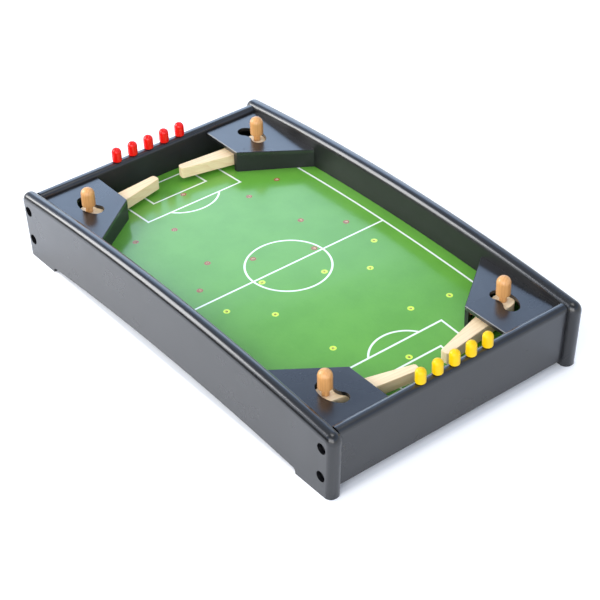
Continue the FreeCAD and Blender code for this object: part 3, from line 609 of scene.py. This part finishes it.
class FOOTBALL_OT_lay_studio(bpy.types.Operator):
    """Set up the camera, the pale floor, the soft lamps and the pale surroundings"""
    bl_idname = "football.lay_studio"
    bl_label = "Lay Studio"

    def execute(self, context):
        studio = context.scene.football_studio
        self.place_camera(context, studio)
        self.lay_floor(context, studio)
        self.stand_black_card(context)
        self.hang_lamps(context)
        self.surround(context)
        context.scene.view_settings.view_transform = "Standard"
        return {"FINISHED"}

    @staticmethod
    def place_camera(context, studio):
        """Camera at the photograph's angle, with its small roll."""
        level = math.cos(studio.tilt)
        back = Vector((math.sin(studio.yaw) * level, -math.cos(studio.yaw) * level,
                       math.sin(studio.tilt)))
        right = (-back).cross(Vector((0, 0, 1))).normalized()
        up = right.cross(-back).normalized()
        cosine, sine = math.cos(studio.roll), math.sin(studio.roll)
        right, up = cosine * right + sine * up, cosine * up - sine * right
        lens = bpy.data.cameras.new("Photo camera")
        lens.sensor_width = 36.0
        lens.lens = studio.lens
        lens.clip_start, lens.clip_end = 0.05, 60.0
        camera = bpy.data.objects.new("Photo camera", lens)
        turn = Matrix((right, up, back)).transposed().to_4x4()
        camera.matrix_world = Matrix.Translation(studio.camera_place) @ turn
        context.scene.collection.objects.link(camera)
        context.scene.camera = camera

    @staticmethod
    def glow_strength(tree, studio):
        """Floor glow for the camera, and for gloss at the left, but not under the tray."""
        seen = node_in(tree, "ShaderNodeLightPath").outputs
        along, across, _ = parts_of(tree, own_place(tree))
        mirrored = either(tree, seen["Is Glossy Ray"], seen["Is Transmission Ray"])
        mirrored = both(tree, mirrored, ramp(tree, along, 0.40, -0.60))
        beside_tray = either(tree, ramp(tree, sums(tree, "ABSOLUTE", along), 0.242, 0.252),
                             ramp(tree, sums(tree, "ABSOLUTE", across), 0.146, 0.150))
        shown = both(tree, either(tree, seen["Is Camera Ray"], mirrored), beside_tray)
        return sums(tree, "MULTIPLY", shown, studio.floor_glow)

    def lay_floor(self, context, studio):
        """A wide pale floor that stays white to the eye and keeps the shadow."""
        bm = bmesh.new()
        bmesh.ops.create_circle(bm, cap_ends=True, radius=7.0, segments=96)
        mesh = bpy.data.meshes.new("Floor")
        bm.to_mesh(mesh)
        bm.free()
        material, tree, shader = start_material("Pale floor")
        paper = noise(tree, "Paper", own_place(tree), 3.0, 2.0)
        tint = blended(tree, paper, studio.floor_colour,
                       tuple(0.985 * part for part in studio.floor_colour))
        tree.links.new(tint, shader.inputs["Base Color"])
        shader.inputs["Roughness"].default_value = 0.9
        shader.inputs["Specular IOR Level"].default_value = 0.1
        glow = node_in(tree, "ShaderNodeEmission", inputs={
            "Color": (1.0, 1.0, 1.0), "Strength": self.glow_strength(tree, studio)})
        added = tree.nodes.new("ShaderNodeAddShader")
        tree.links.new(shader.outputs["BSDF"], added.inputs[0])
        tree.links.new(glow.outputs["Emission"], added.inputs[1])
        output = next(n for n in tree.nodes if n.type == "OUTPUT_MATERIAL")
        tree.links.new(added.outputs["Shader"], output.inputs["Surface"])
        mesh.materials.append(material)
        floor = bpy.data.objects.new("Floor", mesh)
        context.scene.collection.objects.link(floor)

    @staticmethod
    def stand_black_card(context):
        """A black card that only gloss sees; it draws the dark line along the near rail."""
        bm = bmesh.new()
        width, height = 1.30, 0.22
        place = (Matrix.Translation((-0.42, -0.50, height / 2.0))
                 @ Matrix.Rotation(QUARTER_TURN, 4, "X")
                 @ Matrix.Diagonal((width, height, 1.0, 1.0)))
        bmesh.ops.create_grid(bm, x_segments=1, y_segments=1, size=0.5, matrix=place)
        mesh = bpy.data.meshes.new("Black card")
        bm.to_mesh(mesh)
        bm.free()
        material, tree, shader = start_material("Black card")
        felt = noise(tree, "Felt", own_place(tree), 300.0, 2.0)
        tint = blended(tree, felt, (0.003, 0.003, 0.003), (0.005, 0.005, 0.005))
        tree.links.new(tint, shader.inputs["Base Color"])
        shader.inputs["Roughness"].default_value = 1.0
        shader.inputs["Specular IOR Level"].default_value = 0.0
        mesh.materials.append(material)
        card = bpy.data.objects.new("Black card", mesh)
        context.scene.collection.objects.link(card)
        card.visible_camera = card.visible_shadow = card.visible_diffuse = False

    @staticmethod
    def hang_lamps(context):
        """Large softboxes round the tray; the low ones at the left give the sheen.

        Each has a name, a place, its two sides, its power in watts and its tone.
        """
        target = Vector((0.0, 0.0, 0.05))
        lamps = (
            ("Left softbox", (-1.64, -1.24, 1.24), (1.05, 1.55), 45.0, (1.0, 0.99, 0.98)),
            ("Cool back panel", (-1.79, 1.30, 1.05), (1.60, 1.20), 14.0, (0.55, 0.73, 1.0)),
            ("Front fill", (1.42, -1.74, 1.14), (2.80, 1.50), 46.0, (1.0, 0.98, 0.95)),
            ("Overhead softbox", (0.15, 0.35, 2.40), (1.0, 1.0), 11.0, (1.0, 0.99, 0.97)),
        )
        for name, place, size, power, tone in lamps:
            light = bpy.data.lights.new(name, "AREA")
            light.shape = "RECTANGLE"
            light.size, light.size_y = size
            light.energy = power
            light.color = tone
            lamp = bpy.data.objects.new(name, light)
            lamp.location = place
            aim = target - Vector(place)
            lamp.rotation_mode = "QUATERNION"
            lamp.rotation_quaternion = aim.to_track_quat("-Z", "Y")
            lamp.visible_camera = False
            context.scene.collection.objects.link(lamp)

    @staticmethod
    def surround(context):
        """Surroundings that are pale low down and a dim cool tone overhead."""
        world = bpy.data.worlds.new("Studio surroundings")
        context.scene.world = world
        world.use_nodes = True
        tree = world.node_tree
        tree.nodes.clear()
        output = tree.nodes.new("ShaderNodeOutputWorld")
        direction = node_in(tree, "ShaderNodeTexCoord").outputs["Generated"]
        _, _, height = parts_of(tree, direction)
        bands = node_in(tree, "ShaderNodeValToRGB", label="Horizon to zenith",
                        inputs={"Fac": height})
        stops = (
            (0.00, (0.90, 0.92, 0.94)), (0.28, (0.86, 0.90, 0.94)),
            (0.46, (0.60, 0.74, 0.98)), (0.60, (0.42, 0.57, 0.92)),
            (0.76, (0.42, 0.48, 0.58)), (1.00, (0.30, 0.32, 0.36)),
        )
        elements = bands.color_ramp.elements
        while len(elements) < len(stops):
            elements.new(1.0)
        for element, (place, tone) in zip(elements, stops):
            element.position = place
            element.color = (*tone, 1.0)
        background = node_in(tree, "ShaderNodeBackground",
                             inputs={"Color": bands.outputs["Color"], "Strength": 1.0})
        tree.links.new(background.outputs["Background"], output.inputs["Surface"])


class FOOTBALL_OT_lacquer_boards(bpy.types.Operator):
    """Lacquer the side boards, end boards and the slanted walls of the corner blocks"""
    bl_idname = "football.lacquer_boards"
    bl_label = "Lacquer Boards"

    def execute(self, context):
        paint = context.scene.football_paint
        skin = bpy.data.node_groups["Lacquer Skin"]
        board = lacquered("Board lacquer", paint.base, paint.worn, skin, paint.roughness,
                          inside=(paint.inner_end, paint.inner_side))
        wall = lacquered("Wall lacquer", paint.base, paint.worn, skin, paint.roughness + 0.16,
                         coat=0.12)
        for side in SIDES:
            dress("side_board_" + side, board)
        for team in TEAMS:
            dress("end_board_" + team, board)
        for corner in CORNERS:
            dress("corner_wall_" + corner, wall)
        return {"FINISHED"}


class FOOTBALL_OT_print_pitch(bpy.types.Operator):
    """Print the lines and the coloured rings on the arched pitch"""
    bl_idname = "football.print_pitch"
    bl_label = "Print Pitch"

    def execute(self, context):
        skin = bpy.data.node_groups["Lacquer Skin"]
        dress("playing_field", printed_pitch(context.scene.football_pitch, skin))
        return {"FINISHED"}


class FOOTBALL_OT_ease_block_tops(bpy.types.Operator):
    """Make the tops of the corner blocks with eased slot rims, and finish what is inside"""
    bl_idname = "football.ease_block_tops"
    bl_label = "Ease Block Tops"

    def execute(self, context):
        paint = context.scene.football_paint
        wood = context.scene.football_wood
        skin = bpy.data.node_groups["Lacquer Skin"]
        grain = bpy.data.node_groups["Wood Grain"]
        lacquer = lacquered("Block top lacquer", paint.base, paint.worn, skin, paint.roughness)
        raw = bare_wood("Raw block wood", wood.raw_light, wood.raw_dark, grain, roughness=0.62,
                        turn=QUARTER_TURN)
        for corner in CORNERS:
            node = "corner_top_" + corner
            bm = bmesh.new()
            bm.from_mesh(NODES[node].data)
            bmesh.ops.remove_doubles(bm, verts=bm.verts, dist=1e-6)
            bmesh.ops.dissolve_limit(bm, angle_limit=math.radians(0.5), verts=bm.verts,
                                     edges=bm.edges)
            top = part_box(node)[1].z
            pivot = Vector(SWINGS["flipper_" + corner]["pos_m"])
            rim = [edge for edge in bm.edges if self.on_rim(edge, top, pivot)]
            bmesh.ops.bevel(bm, geom=rim, offset=paint.slot_ease, offset_type="OFFSET",
                            segments=3, profile=0.5, affect="EDGES", material=-1,
                            clamp_overlap=True)
            piece_from(bm, "block_top_" + corner, "tray", lacquer,
                       replaced=[node], flat_above=8e-6)
            dress("corner_batten_" + corner, raw)
            dress("corner_cleat_" + corner, raw)
        return {"FINISHED"}

    @staticmethod
    def on_rim(edge, top, pivot):
        """True for an edge of the slot's upper rim, which lies within a ring round the pivot."""
        inner, outer = 0.0105, 0.0270
        if len(edge.link_faces) != 2 or any(abs(v.co.z - top) > 1e-5 for v in edge.verts):
            return False
        if edge.calc_face_angle(0.0) < math.radians(60.0):
            return False
        away = [(v.co.xy - pivot.xy).length for v in edge.verts]
        return all(inner < distance < outer for distance in away)


class FOOTBALL_OT_finish_flippers(bpy.types.Operator):
    """Finish the flippers in pale wood with the grain along each blade"""
    bl_idname = "football.finish_flippers"
    bl_label = "Finish Flippers"

    def execute(self, context):
        wood = context.scene.football_wood
        grain = bpy.data.node_groups["Wood Grain"]
        for number, corner in enumerate(CORNERS):
            pivot = Vector(SWINGS["flipper_" + corner]["pos_m"])
            reach = middle_of("flipper_" + corner) - pivot
            turn = math.atan2(reach.x, -reach.y)
            blade = bare_wood("Pale flipper wood " + corner.replace("_", " "), wood.blade_light,
                              wood.blade_dark, grain, turn=-turn,
                              shift=(pivot.x + 0.013 * number, pivot.y, 0.031 * number),
                              rings=270.0, streaks=0.42, roughness=0.50)
            dress("flipper_" + corner, blade)
        return {"FINISHED"}


class FOOTBALL_OT_turn_knobs(bpy.types.Operator):
    """Turn the round-topped knobs with their narrow stems"""
    bl_idname = "football.turn_knobs"
    bl_label = "Turn Knobs"

    def execute(self, context):
        wood = context.scene.football_wood
        grain = bpy.data.node_groups["Wood Grain"]
        radius, stem = wood.knob_width / 2.0, wood.stem_width / 2.0
        chamfer, shoulder, above_top = 0.0004, 0.0016, 0.0012
        for number, corner in enumerate(CORNERS):
            node = "knob_" + corner
            low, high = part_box(node)
            centre = middle_of(node)
            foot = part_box("corner_top_" + corner)[1].z + above_top
            profile = [(0.0, low.z), (stem - chamfer, low.z), (stem, low.z + chamfer)]
            profile += [(stem, foot - 0.0002), (stem + 0.0003, foot + 0.0002)]
            profile += [(radius - 0.0009, foot + 0.0015)]
            profile += arc(radius - shoulder, foot + 0.0029, shoulder, -48.0, 0.0, 5)
            profile += [(radius, foot + 0.0075)]
            dome = arc(0.0, high.z - radius, radius, 0.0, 90.0, 18)
            profile += dome[:-1] + [(0.0, high.z)]
            bm = bmesh.new()
            turn_profile(bm, profile, centre, segments=72)
            knob = bare_wood("Turned knob wood " + corner.replace("_", " "), wood.knob_light,
                             wood.knob_dark, grain, upright=True,
                             shift=(centre.x + 0.011 * number, centre.y - 0.007 * number, 0.0),
                             rings=360.0, streaks=0.36, roughness=0.40, coat=0.35)
            piece_from(bm, "turned_knob_" + corner, "flipper_" + corner, knob,
                       replaced=[node])
        return {"FINISHED"}


class FOOTBALL_OT_turn_pegs(bpy.types.Operator):
    """Turn the lacquered pegs of both teams"""
    bl_idname = "football.turn_pegs"
    bl_label = "Turn Pegs"

    def execute(self, context):
        pegs = context.scene.football_pegs
        radius, stem, chamfer = pegs.width / 2.0, pegs.stem_width / 2.0, 0.0003
        skin = bpy.data.node_groups["Lacquer Skin"]
        finishes = {
            "red": self.peg_lacquer("Red peg lacquer", pegs.red, skin, 0.22, 0.30, 0.07),
            "yellow": self.peg_lacquer("Yellow peg lacquer", pegs.yellow, skin, 0.38, 0.10, 0.16),
        }
        for team in TEAMS:
            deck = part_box("end_board_" + team)[1].z
            for number in range(1, 6):
                node = "%s_peg_%d" % (team, number)
                low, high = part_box(node)
                centre = middle_of(node)
                profile = [(0.0, low.z), (stem - chamfer, low.z), (stem, low.z + chamfer),
                           (stem, deck)]
                profile += arc(radius - pegs.foot_round, deck + pegs.foot_round,
                               pegs.foot_round, -90.0, 0.0, 8)
                dome = arc(0.0, high.z - radius, radius, 0.0, 90.0, 16)
                profile += dome[:-1] + [(0.0, high.z)]
                bm = bmesh.new()
                turn_profile(bm, profile, centre, segments=56)
                piece_from(bm, "turned_%s_peg_%d" % (team, number), node,
                           finishes[team], replaced=[node])
        return {"FINISHED"}

    @staticmethod
    def peg_lacquer(name, base, skin, roughness, coat, coat_roughness):
        """Coloured lacquer over fine turning lines."""
        material, tree, shader = start_material(name)
        place = own_place(tree)
        film = use_group(tree, skin, Vector=place, Peel_Scale=900.0)
        _, _, height_up = parts_of(tree, place)
        lines = sums(tree, "SINE", sums(tree, "MULTIPLY", height_up, 5200.0))
        deep = tuple(0.86 * part for part in base)
        tint = blended(tree, film.outputs["Haze"], base, deep)
        tree.links.new(tint, shader.inputs["Base Color"])
        tree.links.new(sums(tree, "MULTIPLY_ADD", film.outputs["Haze"], 0.10, roughness - 0.05),
                       shader.inputs["Roughness"])
        shader.inputs["Specular IOR Level"].default_value = 0.28
        shader.inputs["Coat Weight"].default_value = coat
        shader.inputs["Coat Roughness"].default_value = coat_roughness
        height = sums(tree, "MULTIPLY_ADD", lines, 0.35, film.outputs["Height"])
        bump_on(tree, shader, height, 0.10)
        return material


class FOOTBALL_OT_drive_fasteners(bpy.types.Operator):
    """Model the socket screws in their recesses and finish the brads, pins and washers"""
    bl_idname = "football.drive_fasteners"
    bl_label = "Drive Fasteners"

    def execute(self, context):
        black = metal("Blackened screw steel", (0.035, 0.036, 0.040), 0.42)
        zinc = metal("Zinc plated steel", (0.62, 0.63, 0.64), 0.34)
        paint = context.scene.football_paint
        skin = bpy.data.node_groups["Lacquer Skin"]
        filled = lacquered("Painted brad heads", (0.035, 0.040, 0.048), paint.worn, skin, 0.5)
        dress("pivot_pins", zinc)
        dress("flipper_washers", zinc)
        dress("corner_brads", filled)
        bm = bmesh.new()
        for height, along in SCREWS:
            for end in (-1.0, 1.0):
                for side in (-1.0, 1.0):
                    self.add_screw(bm, end * along, side, height)
        piece_from(bm, "socket_screws", "tray", black,
                   replaced=["side_screws"], smooth_angle=28.0)
        return {"FINISHED"}

    @staticmethod
    def add_screw(bm, along, sign, height):
        """One screw, made upright at the origin and laid along Y."""
        part = bmesh.new()
        head, shank, thick, reach = 0.0040, 0.0020, 0.0026, 0.0350
        rounding, mouth = 0.0007, 0.0024
        socket, socket_depth, seat_depth = 0.0017, 0.0016, 0.006
        profile = [(0.0, -reach), (shank, -reach), (shank, 0.0), (head, 0.0)]
        profile += arc(head - rounding, thick - rounding, rounding, 0.0, 90.0, 5)
        profile += [(mouth, thick)]
        turn_profile(part, profile, Vector((0.0, 0.0, 0.0)), segments=36)
        rim = [edge for edge in part.edges if edge.is_boundary
               and all(abs(v.co.z - thick) < 1e-6 for v in edge.verts)]
        hexagon = bmesh.ops.create_circle(part, cap_ends=False, radius=socket, segments=6,
                                          matrix=Matrix.Translation((0.0, 0.0, thick)))
        hex_edges = list({edge for vert in hexagon["verts"] for edge in vert.link_edges})
        bmesh.ops.bridge_loops(part, edges=rim + hex_edges)
        sunk = bmesh.ops.extrude_edge_only(part, edges=hex_edges)["geom"]
        floor_verts = [item for item in sunk if isinstance(item, bmesh.types.BMVert)]
        bmesh.ops.translate(part, verts=floor_verts, vec=(0.0, 0.0, -socket_depth))
        floor_edges = [item for item in sunk if isinstance(item, bmesh.types.BMEdge)
                       and all(vert in floor_verts for vert in item.verts)]
        bmesh.ops.contextual_create(part, geom=floor_edges)
        outward = Matrix.Rotation(-sign * QUARTER_TURN, 4, "X")
        seat = abs(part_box("side_board_far")[1].y) - seat_depth
        place = Matrix.Translation((along, sign * seat, height)) @ outward
        bmesh.ops.transform(part, matrix=place, verts=part.verts)
        bmesh.ops.recalc_face_normals(part, faces=part.faces)
        mesh = bpy.data.meshes.new("one screw")
        part.to_mesh(mesh)
        part.free()
        bm.from_mesh(mesh)
        bpy.data.meshes.remove(mesh)


class FOOTBALL_PT_tray(bpy.types.Panel):
    """Sidebar list of the tray's pieces and finishes"""
    bl_idname = "FOOTBALL_PT_tray"
    bl_label = "Football Tray"
    bl_space_type = "VIEW_3D"
    bl_region_type = "UI"
    bl_category = "Football Tray"

    def draw(self, context):
        layout = self.layout
        for operator in OPERATORS:
            layout.operator(operator.bl_idname)
        for group in SETTINGS:
            settings = getattr(context.scene, group)
            box = layout.box()
            box.label(text=group.split("_")[1].capitalize())
            for name in settings.__annotations__:
                box.prop(settings, name)


OPERATORS = (
    FOOTBALL_OT_lay_studio,
    FOOTBALL_OT_lacquer_boards,
    FOOTBALL_OT_print_pitch,
    FOOTBALL_OT_ease_block_tops,
    FOOTBALL_OT_finish_flippers,
    FOOTBALL_OT_turn_knobs,
    FOOTBALL_OT_turn_pegs,
    FOOTBALL_OT_drive_fasteners,
)
SETTINGS = {
    "football_paint": PaintSettings,
    "football_pitch": PitchSettings,
    "football_wood": WoodSettings,
    "football_pegs": PegSettings,
    "football_studio": StudioSettings,
}


def register():
    """Make the settings, the operators and the panel known."""
    for settings in SETTINGS.values():
        bpy.utils.register_class(settings)
    for name, settings in SETTINGS.items():
        setattr(bpy.types.Scene, name, PointerProperty(type=settings))
    for operator in OPERATORS:
        bpy.utils.register_class(operator)
    bpy.utils.register_class(FOOTBALL_PT_tray)


def unregister():
    """Take them all away again."""
    bpy.utils.unregister_class(FOOTBALL_PT_tray)
    for operator in reversed(OPERATORS):
        bpy.utils.unregister_class(operator)
    for name, settings in SETTINGS.items():
        delattr(bpy.types.Scene, name)
        bpy.utils.unregister_class(settings)


def main():
    """Make every piece in order."""
    register()
    wood_grain_group()
    lacquer_skin_group()
    bpy.ops.football.lay_studio()
    bpy.ops.football.lacquer_boards()
    bpy.ops.football.print_pitch()
    bpy.ops.football.ease_block_tops()
    bpy.ops.football.finish_flippers()
    bpy.ops.football.turn_knobs()
    bpy.ops.football.turn_pegs()
    bpy.ops.football.drive_fasteners()


if __name__ == "__main__":
    main()
